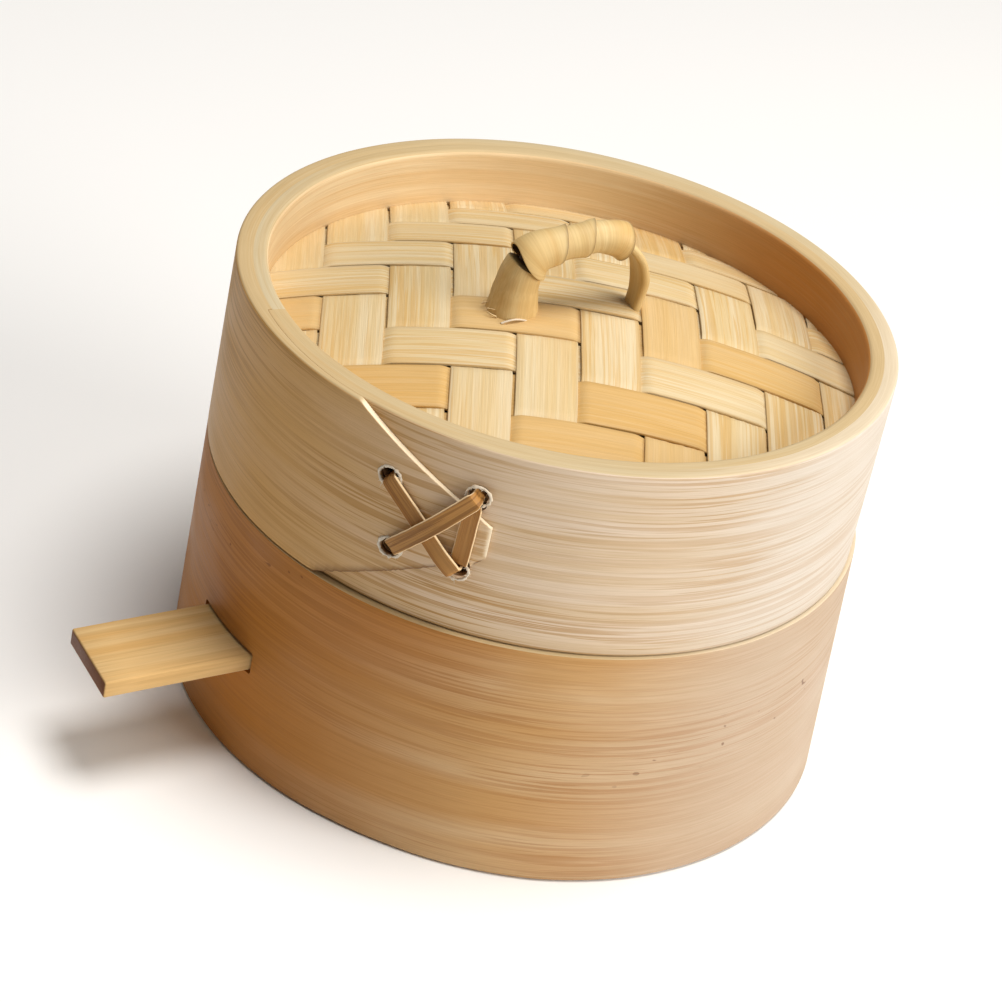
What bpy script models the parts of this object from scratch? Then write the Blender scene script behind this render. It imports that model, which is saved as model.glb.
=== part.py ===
"""Bamboo steamer basket: a round steaming basket with a flat stick handle and a domed, woven lid.

Metres, +Z up. The origin is the middle of the bottom of the whole object's box, and the stick
handle points along -X. The basket's own axis stands at (AXIS_X, AXIS_Y). Heights of the basket
pieces are measured from the table, heights of the lid pieces from the lid's lower edge.
"""

import bisect
import math

import bmesh
import bpy
from mathutils import Vector

MM = 0.001
OBJECT_NAME = "bamboo_steamer_basket"

# Where the basket's axis stands, in millimetres like every length below
AXIS_X = 17.55
AXIS_Y = 2.04

# Basket walls: an outer hoop, and two inner rings that clamp the rack between them
BASKET_HEIGHT = 61.6
BASKET_RING_OUTER = 76.2
BASKET_RING_INNER = 72.7
SPIGOT_TOP = 70.3
UPPER_RING_LOW = 32.3
LOWER_RING_TOP = 24.6

# Rack: flat bars across the basket and slats laid over them
BAR_LOW = 24.9
BAR_THICK = 4.4
SUPPORT_WIDTH = 14.0
SUPPORT_Y = 42.0
SLAT_LOW = 29.6
SLAT_THICK = 2.4
SLAT_WIDTH = 13.4
SLAT_PITCH = 16.4
SLAT_COUNT = 9
RACK_REACH = 76.0

# Stick handle: the middle bar, running out through a slot in the wall
HANDLE_WIDTH = 22.5
HANDLE_TIP = 118.6
HANDLE_TIP_SLANT = 2.3
HANDLE_END = 75.0
SLOT_WIDTH = 24.4
SLOT_HEIGHT = 6.2

# Lid walls
LID_SEAT = 61.9
LID_HEIGHT = 48.4
LID_RING_OUTER = 76.3
LID_RING_INNER = 72.8
LID_TRIM_LOW = 34.3
LID_LEDGE_LOW = 8.9
LID_LEDGE_TOP = 28.8

# Woven dome
CROWN = 45.1
DOME_RADIUS = 222.7
WEAVE_TURN = -31.7
STRIP_PITCH = 15.2
STRIP_WIDTH = 14.2
STRIP_THICK = 0.7
STRIP_RISE = 0.5
WARP_OFFSET = -5.3
WEFT_OFFSET = -8.2
FIRST_STRIP = -4
LAST_STRIP = 5
MAT_REACH = 76.0
LATH_WIDTH = 9.0
LATH_THICK = 1.8
LATH_DROP = 2.05
LATH_CROSS_DROP = 4.15

# Loop handle on the dome
LOOP_TURN = -9.2
LEFT_FOOT = -14.8
RIGHT_FOOT = 17.0
TOGGLE_TOP = 39.7
TOGGLE_THICK = 2.2
TOGGLE_WIDTH = 2.6
WRAP_TURNS = 4
WRAP_WIDTH = 6.1
WRAP_THICK = 0.8

# Width and thickness of the loop's core at the steps of its path, from the left foot up
LOOP_WIDTHS = [(0, 11.0), (6, 10.0), (7, 6.4), (8, 5.6), (20, 4.4), (23, 4.6), (30, 5.0)]
LOOP_THICKS = [(0, 6.0), (6, 6.0), (7, 5.6), (8, 5.4), (20, 4.0), (23, 3.4), (30, 3.2)]

# Where the visible end of each wound strip lies, in degrees round the axis
LID_LAP = -133.7
BASKET_LAP = 25.0

STEPS_ROUND = 72

# Winding angle past the lap, then millimetres: radius inside and outside, edge heights
LID_INSIDE = [(-55, 76.6), (35, 76.6), (305, 77.6), (330, 79.4), (361, 80.0)]
LID_OUTSIDE = [
    (-55, 77.2), (-30, 79.0), (0, 79.6), (35, 79.9), (75, 80.0),
    (200, 80.3), (305, 80.6), (330, 80.9), (345, 81.1), (361, 80.9),
]
LID_TOP = [(334.5, 48.4), (353.7, 34.6), (358.4, 31.4), (360.6, 29.5)]
LID_BOTTOM = [(331.7, 0.0), (353.2, 15.7), (357.5, 17.0), (360.6, 21.2)]
NO_SPREAD = [(0, 0.0), (1, 0.0)]
BASKET_INSIDE = [(-55, 76.6), (60, 76.6), (305, 77.8), (334, 79.4), (361, 80.0)]
BASKET_OUTSIDE = [
    (-55, 77.4), (-26, 79.0), (0, 79.6), (35, 80.3), (130, 80.5), (160, 81.0),
    (184, 81.3), (210, 81.0), (240, 80.7), (305, 81.2), (334, 82.3), (361, 81.4),
]
BASKET_TOP_EDGE = [(328.0, 61.6), (353.7, 39.3), (358.4, 36.2), (360.6, 34.0)]
BASKET_LOW_EDGE = [(326.0, 0.0), (353.2, 20.2), (357.5, 21.5), (360.6, 25.7)]

# How far the basket's wall spreads at the table, by the direction from the axis in degrees
BASKET_SPREAD = [
    (-150, 0.0), (-140, 0.6), (-128, 1.9), (-114, 3.2), (-98, 3.8), (-82, 3.6),
    (-60, 3.2), (-44, 2.8), (-34, 1.8), (-26, 0.9), (-18, 0.2), (-12, 0.0),
]

# Lacing holes at a lap: winding angle past the lap and height
HOLE_A = (-17.3, 33.8)
HOLE_B = (-2.9, 35.9)
HOLE_B_LOW = (-2.6, 32.9)
HOLE_C = (-14.9, 16.1)
HOLE_D = (-3.7, 15.3)
HOLE_D_RIGHT = (-3.2, 18.2)
HOLE_RADIUS = 2.4
LACE_WIDTH = 4.2
LACE_THICK = 1.0
BASKET_LACE_RAISE = 4.5
BASKET_LACE_OUT = 1.2


def clear_scene():
    for item in list(bpy.data.objects):
        bpy.data.objects.remove(item, do_unlink=True)


def new_collection(name):
    collection = bpy.data.collections.new(name)
    bpy.context.scene.collection.children.link(collection)
    return collection


def new_material(name, colour, roughness):
    material = bpy.data.materials.new(name)
    material.use_nodes = True
    shader = material.node_tree.nodes["Principled BSDF"]
    shader.inputs["Base Color"].default_value = (*colour, 1.0)
    shader.inputs["Roughness"].default_value = roughness
    shader.inputs["Metallic"].default_value = 0.0
    material.diffuse_color = (*colour, 1.0)
    return material


def new_empty(name, collection, location):
    empty = bpy.data.objects.new(name, None)
    collection.objects.link(empty)
    empty.location = location
    return empty


def along(table, at):
    """Value at `at` on the straight lines through the table's (position, value) pairs."""
    if at <= table[0][0]:
        return table[0][1]
    if at >= table[-1][0]:
        return table[-1][1]
    k = bisect.bisect_right([row[0] for row in table], at)
    low, high = table[k - 1], table[k]
    return low[1] + (high[1] - low[1]) * (at - low[0]) / (high[0] - low[0])


def polar(radius, angle_deg, height):
    angle = math.radians(angle_deg)
    return Vector((radius * math.cos(angle), radius * math.sin(angle), height))


def loft(name, sections):
    """A closed solid through four-cornered sections, given in millimetres."""
    bm = bmesh.new()
    rings = [[bm.verts.new(corner * MM) for corner in section] for section in sections]
    for low, high in zip(rings, rings[1:]):
        for k in range(4):
            bm.faces.new((low[k], low[(k + 1) % 4], high[(k + 1) % 4], high[k]))
    bm.faces.new(rings[0])
    bm.faces.new(reversed(rings[-1]))
    bmesh.ops.recalc_face_normals(bm, faces=bm.faces)
    mesh = bpy.data.meshes.new(name)
    bm.to_mesh(mesh)
    bm.free()
    return mesh


def ribbon_mesh(name, path, across, widths, thicknesses):
    """A flat strip along `path`; `across` holds the direction of its width at each point."""
    sections = []
    for k, centre in enumerate(path):
        ahead = path[min(k + 1, len(path) - 1)] - path[max(k - 1, 0)]
        normal = ahead.cross(across[k]).normalized()
        side = across[k].normalized() * widths[k] / 2
        lift = normal * thicknesses[k] / 2
        sections.append([centre + side + lift, centre - side + lift,
                         centre - side - lift, centre + side - lift])
    return loft(name, sections)


def smooth_path(points, steps):
    """Points on a Catmull-Rom curve through `points`, with `steps` pieces in each span."""
    ends = [points[0] * 2 - points[1]] + points + [points[-1] * 2 - points[-2]]
    path = []
    for a, b, c, d in zip(ends, ends[1:], ends[2:], ends[3:]):
        for step in range(steps):
            t = step / steps
            path.append(0.5 * (2 * b + (c - a) * t + (2 * a - 5 * b + 4 * c - d) * t * t
                               + (3 * b - a - 3 * c + d) * t ** 3))
    return path + [points[-1]]


def add_object(mesh, home, material, parent, smooth=True):
    """Link a mesh as a named object; round pieces are shaded smooth with sharp corners kept."""
    item = bpy.data.objects.new(mesh.name, mesh)
    home.objects.link(item)
    item.parent = parent
    mesh.materials.append(material)
    if smooth:
        mesh.shade_smooth()
        mesh.set_sharp_from_angle(angle=math.radians(35))
    return item


def add_cutter(mesh, home, parent):
    item = bpy.data.objects.new(mesh.name, mesh)
    home.objects.link(item)
    item.parent = parent
    item.hide_render = True
    item.display_type = "WIRE"
    return item


def cut(item, cutter, operation="DIFFERENCE"):
    boolean = item.modifiers.new(cutter.name, "BOOLEAN")
    boolean.operation = operation
    boolean.solver = "EXACT"
    boolean.object = cutter


def box_mesh(name, size):
    bm = bmesh.new()
    bmesh.ops.create_cube(bm, size=1.0)
    bmesh.ops.scale(bm, vec=Vector(size) * MM, verts=bm.verts)
    mesh = bpy.data.meshes.new(name)
    bm.to_mesh(mesh)
    bm.free()
    return mesh


def rod_mesh(name, radius, length, segments):
    bm = bmesh.new()
    bmesh.ops.create_cone(bm, cap_ends=True, segments=segments, radius1=radius * MM,
                          radius2=radius * MM, depth=length * MM)
    mesh = bpy.data.meshes.new(name)
    bm.to_mesh(mesh)
    bm.free()
    return mesh


def add_bar(name, size, centre, home, material, parent):
    """A flat bamboo bar with its edges taken off."""
    bar = add_object(box_mesh(name, size), home, material, parent, smooth=False)
    bar.location = Vector(centre) * MM
    edge = bar.modifiers.new("eased_edges", "BEVEL")
    edge.width = 0.5 * MM
    edge.segments = 1
    return bar


def add_ring(name, inner, outer, low, high, home, material, parent):
    """A plain round ring, turned from its own rectangular section."""
    bm = bmesh.new()
    corners = [(outer, high), (outer, low), (inner, low), (inner, high)]
    verts = [bm.verts.new((radius * MM, 0.0, height * MM)) for radius, height in corners]
    for k in range(4):
        bm.edges.new((verts[k], verts[(k + 1) % 4]))
    mesh = bpy.data.meshes.new(name)
    bm.to_mesh(mesh)
    bm.free()
    ring = add_object(mesh, home, material, parent, smooth=False)
    turn = ring.modifiers.new("turned", "SCREW")
    turn.steps = STEPS_ROUND
    turn.render_steps = STEPS_ROUND
    turn.use_merge_vertices = True
    turn.merge_threshold = 0.00001
    turn.use_smooth_shade = False
    return ring


def wound_hoop_mesh(name, lap, height, inside, outside, top, bottom, spread):
    """A strip wound once round and past its own start, its outer end cut to a blunt tongue.

    `spread` says how far the strip's lower edge leans out, by the direction from the axis.
    """
    turns = {float(angle) for angle in range(-55, 330, 5)}
    turns.update(row[0] for row in top + bottom)
    turns.update((334.0, 340.0, 346.0))
    sections = []
    for turn in sorted(turns):
        high = along([(top[0][0], height)] + top[1:], turn)
        low = along(bottom, turn)
        angle = lap + turn
        r_in = along(inside, turn)
        r_out = along(outside, turn)
        lean = along(spread, (angle + 180) % 360 - 180)
        at_high = lean * (1 - high / height)
        at_low = lean * (1 - low / height)
        sections.append([polar(r_out + at_high, angle, high), polar(r_out + at_low, angle, low),
                         polar(r_in + at_low, angle, low), polar(r_in + at_high, angle, high)])
    return loft(name, sections)


def drill_lace_holes(hoop, prefix, lap, lift, home, parent):
    for k, (turn, height) in enumerate((HOLE_A, HOLE_B, HOLE_B_LOW, HOLE_C, HOLE_D, HOLE_D_RIGHT)):
        drill = add_cutter(rod_mesh(f"{prefix}_lace_drill_{k}", HOLE_RADIUS, 14.0, 12), home, parent)
        drill.location = polar(80.0, lap + turn, height + lift) * MM
        drill.rotation_euler = (math.radians(90), 0.0, math.radians(lap + turn + 90))
        cut(hoop, drill)


def lace_mesh(name, start, end, radii, leg_end, lap, lift):
    """A flat cane strip from one hole to another: a leg in, a run over the wall, a leg out."""
    (turn_a, high_a), (turn_b, high_b) = start, end
    run = math.hypot(math.radians(turn_b - turn_a) * radii[0], high_b - high_a)
    turn_in = 1.1 / run
    stops = [(0.0, leg_end, 3.0), (0.0, radii[0] - 1.3, 3.0), (0.25 * turn_in, radii[0] - 0.35, 3.4)]
    count = len(radii)
    for k, radius in enumerate(radii):
        share = turn_in + (1 - 2 * turn_in) * k / (count - 1)
        stops.append((share, radius, LACE_WIDTH))
    stops.append((1 - 0.25 * turn_in, radii[-1] - 0.35, 3.4))
    stops.append((1.0, radii[-1] - 1.3, 3.0))
    stops.append((1.0, leg_end, 3.0))
    path = []
    across = []
    for share, radius, width in stops:
        turn = turn_a + (turn_b - turn_a) * share
        height = high_a + (high_b - high_a) * share + lift
        path.append(polar(radius, lap + turn, height))
        outward = polar(1.0, lap + turn, 0.0)
        forward = polar(1.0, lap + turn + 90, 0.0) * math.radians(turn_b - turn_a) * radius
        forward.z = high_b - high_a
        across.append(forward.normalized().cross(outward))
    widths = [stop[2] for stop in stops]
    return ribbon_mesh(name, path, across, widths, [LACE_THICK] * len(stops))


def add_laces(prefix, lap, lift, out, home, material, parent):
    """Three cane strips that sew a wound hoop's end down, the last one lying on top."""
    runs = [
        ("lace_fall", HOLE_A, HOLE_D, [82.0, 82.0, 82.0, 82.2, 82.7, 83.2, 83.3]),
        ("lace_upright", HOLE_B_LOW, HOLE_D_RIGHT, [81.8, 81.8, 81.8, 81.8, 81.8]),
        ("lace_rise", HOLE_C, HOLE_B, [82.0, 83.1, 84.0, 84.3, 84.2, 83.7, 83.2]),
    ]
    for label, start, end, radii in runs:
        raised = [radius + out for radius in radii]
        mesh = lace_mesh(f"{prefix}_{label}", start, end, raised, 77.3 + out, lap, lift)
        add_object(mesh, home, material, parent)


def build_basket(home, tools, axis, mats):
    hoop_mesh = wound_hoop_mesh("basket_outer_hoop", BASKET_LAP, BASKET_HEIGHT, BASKET_INSIDE,
                                BASKET_OUTSIDE, BASKET_TOP_EDGE, BASKET_LOW_EDGE,
                                BASKET_SPREAD)
    hoop = add_object(hoop_mesh, home, mats["basket_hoop"], axis)
    slot = add_cutter(box_mesh("handle_slot", (20.0, SLOT_WIDTH, SLOT_HEIGHT)), tools, axis)
    slot.location = Vector((-80.0, 0.0, BAR_LOW + BAR_THICK / 2)) * MM
    cut(hoop, slot)
    drill_lace_holes(hoop, "basket", BASKET_LAP, BASKET_LACE_RAISE, tools, axis)
    add_laces("basket", BASKET_LAP, BASKET_LACE_RAISE, BASKET_LACE_OUT, home, mats["cane"], axis)
    add_ring("basket_upper_ring", BASKET_RING_INNER, BASKET_RING_OUTER, UPPER_RING_LOW,
             SPIGOT_TOP, home, mats["basket_hoop"], axis)
    add_ring("basket_lower_ring", BASKET_RING_INNER, BASKET_RING_OUTER, 0.0,
             LOWER_RING_TOP, home, mats["basket_hoop"], axis)


def build_rack(home, axis, mats):
    bar_height = BAR_LOW + BAR_THICK / 2
    stick = add_bar("handle_bar", (HANDLE_TIP + HANDLE_END, HANDLE_WIDTH, BAR_THICK),
                    ((HANDLE_END - HANDLE_TIP) / 2, 0.0, bar_height), home, mats["handle"], axis)
    for vert in stick.data.vertices:
        if vert.co.x < 0 < vert.co.y:
            vert.co.x += HANDLE_TIP_SLANT * MM
    reach = math.sqrt(RACK_REACH ** 2 - (SUPPORT_Y + SUPPORT_WIDTH / 2) ** 2)
    for label, side in (("left", -1), ("right", 1)):
        add_bar(f"rack_support_{label}", (2 * reach, SUPPORT_WIDTH, BAR_THICK),
                (0.0, side * SUPPORT_Y, bar_height), home, mats["rack"], axis)
    for k in range(SLAT_COUNT):
        x = (k - (SLAT_COUNT - 1) / 2) * SLAT_PITCH
        reach = math.sqrt(RACK_REACH ** 2 - (abs(x) + SLAT_WIDTH / 2) ** 2)
        add_bar(f"rack_slat_{k + 1}", (SLAT_WIDTH, 2 * reach, SLAT_THICK),
                (x, 0.0, SLAT_LOW + SLAT_THICK / 2), home, mats["rack"], axis)


def dome_height(x, y):
    return CROWN - (x * x + y * y) / (2 * DOME_RADIUS)


def warp_is_over(warp, weft):
    """Two over, two under, each row stepped by one: a two-and-two twill."""
    return (weft - warp) % 4 >= 2


def strip_mesh(name, index, is_warp):
    """One flat strip of the mat, laid over and under the strips that cross it."""
    middle = STRIP_PITCH * index + (WARP_OFFSET if is_warp else WEFT_OFFSET)
    crossing_offset = WEFT_OFFSET if is_warp else WARP_OFFSET
    sections = []
    for other in range(FIRST_STRIP - 1, LAST_STRIP + 2):
        over = warp_is_over(index, other) if is_warp else not warp_is_over(other, index)
        lift = STRIP_RISE if over else -STRIP_RISE
        centre = STRIP_PITCH * other + crossing_offset
        for along_strip in (centre - STRIP_WIDTH / 2 - 0.1, centre + STRIP_WIDTH / 2 + 0.1):
            section = []
            for side, level in ((1, 1), (-1, 1), (-1, -1), (1, -1)):
                across_strip = middle + side * STRIP_WIDTH / 2
                x, y = (across_strip, along_strip) if is_warp else (along_strip, across_strip)
                height = dome_height(x, y) + lift + level * STRIP_THICK / 2
                section.append(Vector((x, y, height)))
            sections.append(section)
    return loft(name, sections)


def build_mat(home, tools, axis, mats):
    """Ten warp and ten weft strips, trimmed round, with two slots for the loop handle's feet."""
    trim = add_cutter(rod_mesh("mat_trim", MAT_REACH, 60.0, 80), tools, axis)
    trim.location = Vector((0.0, 0.0, CROWN - 10.0)) * MM
    slots = []
    for label, reach, size in (("left", LEFT_FOOT, (6.8, 11.8)), ("right", RIGHT_FOOT, (4.0, 6.0))):
        slot = add_cutter(box_mesh(f"foot_slot_{label}", (*size, 20.0)), tools, axis)
        slot.location = polar(reach, LOOP_TURN, CROWN) * MM
        slot.rotation_euler = (0.0, 0.0, math.radians(LOOP_TURN))
        slots.append((slot, polar(reach, LOOP_TURN - WEAVE_TURN, 0.0)))
    for is_warp in (True, False):
        for index in range(FIRST_STRIP, LAST_STRIP + 1):
            label = "warp" if is_warp else "weft"
            mesh = strip_mesh(f"mat_{label}_{index - FIRST_STRIP + 1}", index, is_warp)
            material = mats["warp"] if is_warp else mats["weft"]
            strip = add_object(mesh, home, material, axis, smooth=False)
            strip.rotation_euler = (0.0, 0.0, math.radians(WEAVE_TURN))
            cut(strip, trim, "INTERSECT")
            middle = STRIP_PITCH * index + (WARP_OFFSET if is_warp else WEFT_OFFSET)
            for slot, foot in slots:
                away = abs((foot.x if is_warp else foot.y) - middle)
                if away < STRIP_WIDTH / 2 + 6.0:
                    cut(strip, slot)


def lath_mesh(name, dips):
    """A thin bamboo lath bent to the dome's underside; the lower one dips under the other."""
    reach = math.sqrt(MAT_REACH ** 2 - (LATH_WIDTH / 2) ** 2)
    path = []
    for k in range(-9, 10):
        x = reach * k / 9
        drop = LATH_DROP
        if dips:
            drop = along([(7.0, LATH_CROSS_DROP), (24.0, LATH_DROP)], abs(x))
        path.append(Vector((x, 0.0, dome_height(x, 0.0) - drop)))
    count = len(path)
    return ribbon_mesh(name, path, [Vector((0, 1, 0))] * count, [LATH_WIDTH] * count,
                       [LATH_THICK] * count)


def loop_path():
    """The loop handle's middle line, from the foot on the left to the foot on the right."""
    points = [
        (LEFT_FOOT, 36.0), (LEFT_FOOT, 46.0), (-14.9, 52.0), (-14.4, 57.0), (-12.6, 60.4),
        (-9.2, 61.9), (-4.7, 62.7), (0.0, 63.7), (4.1, 64.2), (8.3, 63.6), (11.4, 61.8),
        (14.0, 58.4), (15.6, 54.0), (16.6, 49.0), (RIGHT_FOOT, 44.0), (RIGHT_FOOT, 36.0),
    ]
    return smooth_path([Vector((x, 0.0, z)) for x, z in points], 2)


def loop_core_mesh(name):
    path = loop_path()
    steps = range(len(path))
    widths = [along(LOOP_WIDTHS, k) for k in steps]
    thicks = [along(LOOP_THICKS, k) for k in steps]
    return ribbon_mesh(name, path, [Vector((0, 1, 0))] * len(path), widths, thicks)


def loop_wrap_mesh(name):
    """A flat cane strip wound round the top of the loop handle."""
    path = loop_path()[8:21]
    reach = [0.0]
    for a, b in zip(path, path[1:]):
        reach.append(reach[-1] + (b - a).length)
    length = reach[-1]

    def place(distance, angle, radius):
        k = min(max(bisect.bisect_right(reach, distance) - 1, 0), len(path) - 2)
        share = (distance - reach[k]) / (reach[k + 1] - reach[k])
        tangents = []
        for j in (k, k + 1):
            ahead = path[min(j + 1, len(path) - 1)] - path[max(j - 1, 0)]
            tangents.append(ahead.normalized())
        tangent = tangents[0].lerp(tangents[1], share).normalized()
        normal = tangent.cross(Vector((0, 1, 0))) * -1
        point = path[k].lerp(path[k + 1], share)
        return point + normal * radius * math.cos(angle) + Vector((0, 1, 0)) * radius * math.sin(angle)

    pitch = (length - WRAP_WIDTH) / WRAP_TURNS
    sections = []
    for step in range(WRAP_TURNS * 14 + 1):
        turn = step / 14
        middle = WRAP_WIDTH / 2 + pitch * turn
        angle = 2 * math.pi * turn
        inner = 4.45 + (3.45 - 4.45) * middle / length
        outer = inner + WRAP_THICK
        low, high = middle - WRAP_WIDTH / 2, middle + WRAP_WIDTH / 2
        sections.append([place(high, angle, outer), place(low, angle, outer),
                         place(low, angle, inner), place(high, angle, inner)])
    return loft(name, sections)


def build_loop_handle(home, tools, axis, mats):
    turn = (0.0, 0.0, math.radians(LOOP_TURN))
    core = add_object(loop_core_mesh("loop_core"), home, mats["loop"], axis)
    core.rotation_euler = turn
    wrap = add_object(loop_wrap_mesh("loop_wrap"), home, mats["loop"], axis)
    wrap.rotation_euler = turn
    toggle_height = TOGGLE_TOP - TOGGLE_THICK / 2
    toggle = add_bar("loop_toggle", (50.0, TOGGLE_WIDTH, TOGGLE_THICK),
                     polar(1.0, LOOP_TURN, toggle_height), home, mats["rack"], axis)
    toggle.rotation_euler = turn
    hole = add_cutter(box_mesh("toggle_hole", (60.0, TOGGLE_WIDTH + 0.6, TOGGLE_THICK + 0.6)),
                      tools, axis)
    hole.location = polar(1.0, LOOP_TURN, toggle_height) * MM
    hole.rotation_euler = turn
    cut(core, hole)


def build_lid(home, tools, axis, mats):
    hoop_mesh = wound_hoop_mesh("lid_outer_hoop", LID_LAP, LID_HEIGHT, LID_INSIDE, LID_OUTSIDE,
                                LID_TOP, LID_BOTTOM, NO_SPREAD)
    hoop = add_object(hoop_mesh, home, mats["lid_hoop"], axis)
    drill_lace_holes(hoop, "lid", LID_LAP, 0.0, tools, axis)
    add_laces("lid", LID_LAP, 0.0, 0.0, home, mats["cane"], axis)
    add_ring("lid_upper_ring", LID_RING_INNER, LID_RING_OUTER, LID_TRIM_LOW, LID_HEIGHT,
             home, mats["lid_hoop"], axis)
    add_ring("lid_lower_ring", LID_RING_INNER, LID_RING_OUTER, LID_LEDGE_LOW, LID_LEDGE_TOP,
             home, mats["lid_hoop"], axis)
    for label, turn, dips in (("upper", LOOP_TURN + 45, False), ("lower", LOOP_TURN - 45, True)):
        lath = add_object(lath_mesh(f"dome_lath_{label}", dips), home, mats["rack"], axis)
        lath.rotation_euler = (0.0, 0.0, math.radians(turn))


def main():
    clear_scene()
    home = new_collection(OBJECT_NAME)
    tools = new_collection("cutters")
    mats = {
        "basket_hoop": new_material("bamboo_basket_hoop", (0.66, 0.42, 0.20), 0.55),
        "lid_hoop": new_material("bamboo_lid_hoop", (0.74, 0.58, 0.38), 0.5),
        "handle": new_material("bamboo_handle_bar", (0.72, 0.50, 0.24), 0.45),
        "rack": new_material("bamboo_rack", (0.68, 0.50, 0.28), 0.6),
        "warp": new_material("bamboo_mat_warp", (0.76, 0.64, 0.38), 0.55),
        "weft": new_material("bamboo_mat_weft", (0.78, 0.56, 0.26), 0.5),
        "loop": new_material("cane_loop_handle", (0.78, 0.56, 0.28), 0.5),
        "cane": new_material("cane_lacing", (0.36, 0.19, 0.07), 0.6),
    }
    basket_axis = new_empty("basket_axis", home, Vector((AXIS_X, AXIS_Y, 0.0)) * MM)
    lid_axis = new_empty("lid_lift_axis", home, Vector((AXIS_X, AXIS_Y, LID_SEAT)) * MM)
    build_basket(home, tools, basket_axis, mats)
    build_rack(home, basket_axis, mats)
    build_lid(home, tools, lid_axis, mats)
    build_mat(home, tools, lid_axis, mats)
    build_loop_handle(home, tools, lid_axis, mats)


main()
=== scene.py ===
import bisect
import math
import random
from collections import namedtuple

import bmesh
import bpy
from mathutils import Matrix, Vector, noise


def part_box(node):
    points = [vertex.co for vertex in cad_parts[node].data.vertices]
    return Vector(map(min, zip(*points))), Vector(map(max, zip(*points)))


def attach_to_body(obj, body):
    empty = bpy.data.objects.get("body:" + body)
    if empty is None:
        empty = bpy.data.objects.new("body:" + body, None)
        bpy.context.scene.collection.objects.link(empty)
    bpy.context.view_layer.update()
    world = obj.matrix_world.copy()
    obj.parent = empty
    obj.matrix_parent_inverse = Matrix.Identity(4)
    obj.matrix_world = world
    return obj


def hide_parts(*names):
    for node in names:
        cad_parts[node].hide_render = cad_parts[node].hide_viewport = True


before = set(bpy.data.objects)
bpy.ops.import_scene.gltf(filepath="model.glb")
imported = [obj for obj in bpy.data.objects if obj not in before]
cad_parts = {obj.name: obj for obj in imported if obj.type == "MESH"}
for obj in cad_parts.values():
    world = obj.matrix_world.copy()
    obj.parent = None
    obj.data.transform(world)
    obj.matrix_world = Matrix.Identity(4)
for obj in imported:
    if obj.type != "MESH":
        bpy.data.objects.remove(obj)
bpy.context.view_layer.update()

# Lengths below are millimetres. Round pieces are laid out round the steamer's own axis,
# basket pieces from the table up and lid pieces from the lid's lower edge up.
MM = 0.001

ring_low, ring_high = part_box("lid_upper_ring")
AXIS = Vector(((ring_low.x + ring_high.x) / 2, (ring_low.y + ring_high.y) / 2, 0.0))
LID_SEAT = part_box("lid_outer_hoop")[0].z
RIM_TOP = ring_high.z
BASKET = Matrix.Translation(AXIS)
LID = Matrix.Translation(AXIS + Vector((0.0, 0.0, LID_SEAT)))

# How a strip's colour changes round it, as painted shade and painted light: golden towards
# its shaded side, and there towards its top edge too, which is painted shade, and pale
# towards the lit side, which is painted light. The sides are directions from the axis, and how
# far each hue reaches from there is in degrees too.
Hue = namedtuple("Hue", "golden_side golden golden_reach golden_top bleached bleached_reach")
PLAIN_HUE = Hue(golden_side=0.0, golden=0.0, golden_reach=80.0, golden_top=0.0,
                bleached=0.0, bleached_reach=80.0)
# Painted shade: the rim ring's inner face turns golden on its shaded side.
RIM_HUE = PLAIN_HUE._replace(golden_side=-20.0, golden=0.5)
# The side towards the key light, where the hoops are painted pale as painted light.
LIT_SIDE = -55.0

# Wound hoops. A strip is wound round once and past its own start, and the winding angle counts
# from the lap, where its outer end is: at each angle the tables give the radius inside and
# outside, and the height of the top and the bottom edge where the end narrows to a tongue.
FIRST_TURN = -55.0
LID_HOOP = {
    "lap": -133.7,
    "height": 48.4,
    "inside": [(-55, 76.45), (304.8, 76.45), (304.95, 77.65), (330, 79.3), (361, 79.9)],
    "outside": [
        (-55, 77.6), (-30, 79.25), (0, 79.75), (35, 79.9), (75, 80.0),
        (200, 80.3), (305, 80.6), (330, 80.9), (345, 81.1), (361, 80.9),
    ],
    "top": [(334.5, 48.4), (353.7, 34.6), (358.4, 31.4), (360.6, 29.5)],
    "bottom": [(331.7, 0.0), (353.2, 15.7), (357.5, 17.0), (360.6, 21.2)],
    "spread": [(0, 0.0), (1, 0.0)],
    "hue": Hue(golden_side=-205.0, golden=0.5, golden_reach=100.0, golden_top=0.0,
               bleached=0.5, bleached_reach=68.0),
}
BASKET_HOOP = {
    "lap": 25.0,
    "height": 61.6,
    "inside": [(-55, 76.25), (304.8, 76.25), (304.95, 77.85), (334, 79.4), (361, 80.0)],
    "outside": [
        (-55, 77.8), (-26, 79.3), (0, 79.8), (35, 80.3), (130, 80.5), (160, 81.0),
        (184, 81.3), (210, 81.0), (240, 80.7), (305, 81.2), (334, 82.3), (361, 81.4),
    ],
    "top": [(328.0, 61.6), (353.7, 39.3), (358.4, 36.2), (360.6, 34.0)],
    "bottom": [(326.0, 0.0), (353.2, 20.2), (357.5, 21.5), (360.6, 25.7)],
    # The foot leans out on the side towards -Y, by the direction from the axis in degrees
    "spread": [
        (-150, 0.0), (-140, 0.6), (-128, 1.9), (-114, 3.2), (-98, 3.8), (-82, 3.6),
        (-60, 3.2), (-44, 2.8), (-34, 1.8), (-26, 0.9), (-18, 0.2), (-12, 0.0),
    ],
    "hue": Hue(golden_side=-190.0, golden=0.48, golden_reach=78.0, golden_top=0.2,
               bleached=0.5, bleached_reach=84.0),
}
FIBRE_RADIUS = 80.0

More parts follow.
